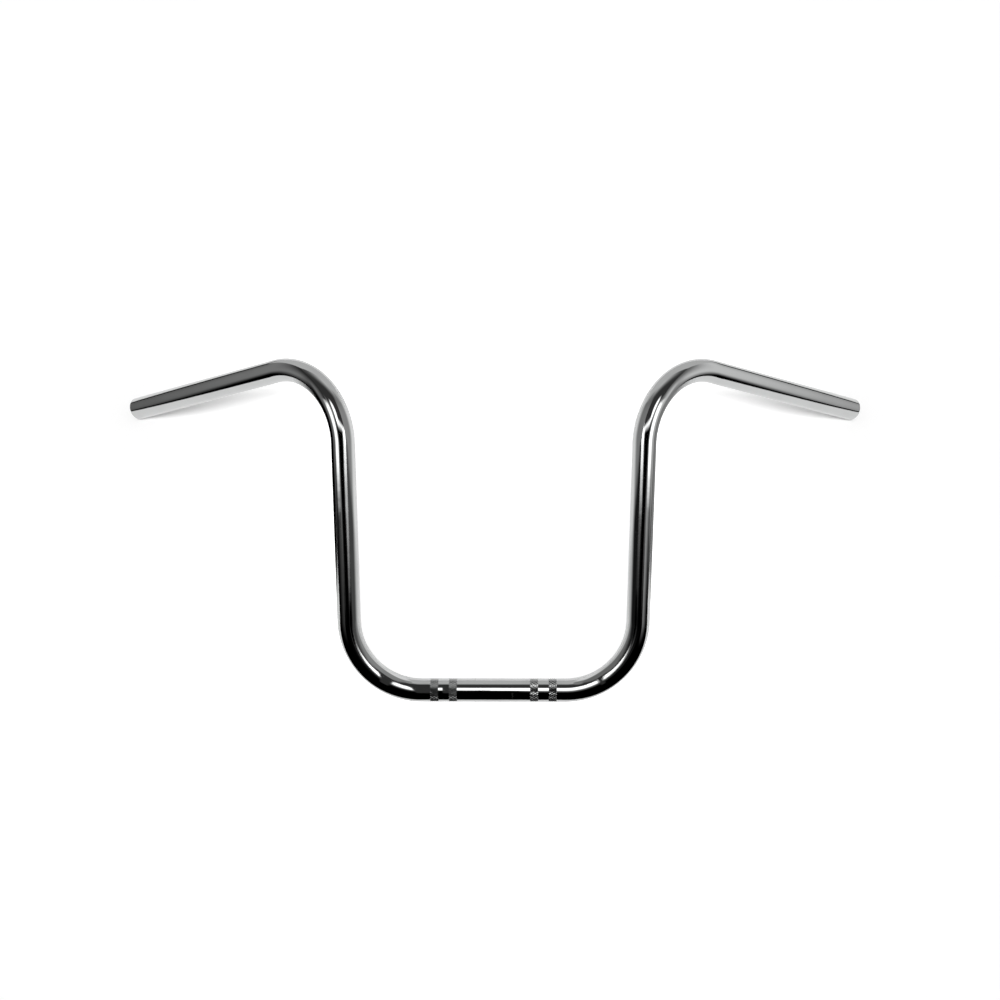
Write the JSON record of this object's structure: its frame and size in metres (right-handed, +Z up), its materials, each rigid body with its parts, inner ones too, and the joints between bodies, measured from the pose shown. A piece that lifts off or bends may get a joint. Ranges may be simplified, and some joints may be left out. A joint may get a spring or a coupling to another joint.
{
  "type": "ape hanger handlebar",
  "caption": "Tall chromed motorbike handlebar bent from one tube, with a knurled clamp section, upright sides and grips that sweep outwards and back.",
  "frame": {"origin": "middle of the clamp section, on the tube's axis", "axes": "+X along the clamp section to the right grip, +Y over the floor towards the grips, +Z up, with the bar lying on its clamp section and both grip ends"},
  "size_m": [0.8574, 0.3703, 0.1813],
  "materials": {
    "chrome_plate": "bright chrome plate on steel tube"
  },
  "bodies": {
    "root": {"handlebar": "chrome_plate"}
  },
  "joints": []
}
